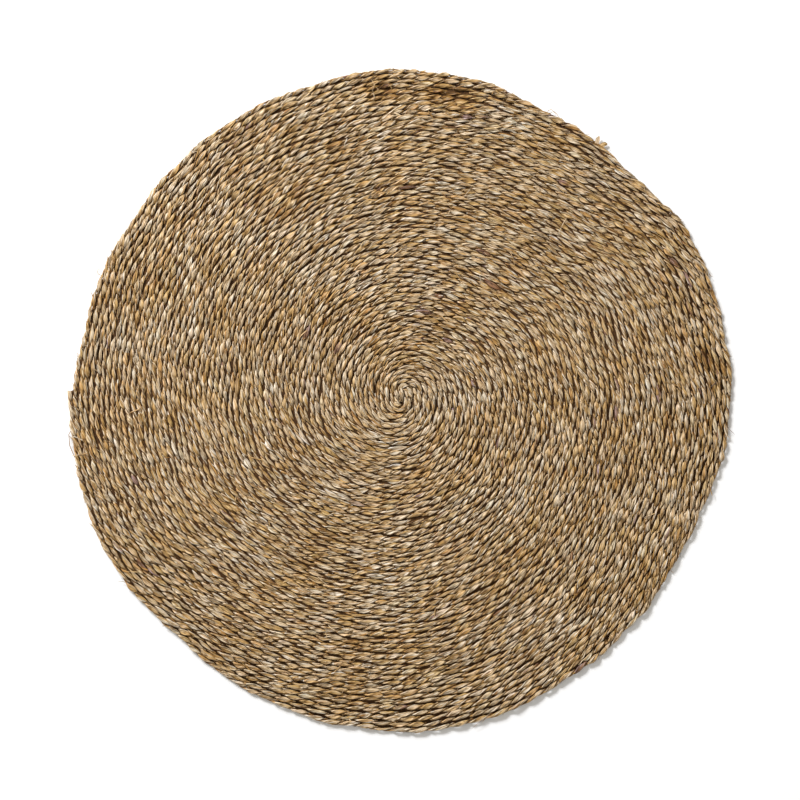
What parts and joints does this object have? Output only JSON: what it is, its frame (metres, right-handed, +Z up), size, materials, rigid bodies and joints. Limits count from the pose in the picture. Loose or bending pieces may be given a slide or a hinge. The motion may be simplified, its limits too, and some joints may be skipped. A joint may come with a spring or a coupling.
{
  "type": "round seagrass rug",
  "caption": "Round flat rug wound from one twisted seagrass cord, sewn into a spiral, with an uneven hand-made rim; lies on a floor.",
  "frame": {"origin": "on the floor under the middle of the rug's bounding box", "axes": "+Z up out of the rug's top face; the outer end of the cord is at the -X side and points to +Y"},
  "size_m": [0.9086, 0.9072, 0.0075],
  "materials": {
    "seagrass": "dry twisted seagrass, straw to brown, matt with a slight satin on single blades"
  },
  "bodies": {
    "root": {"rug": "seagrass"}
  },
  "joints": []
}
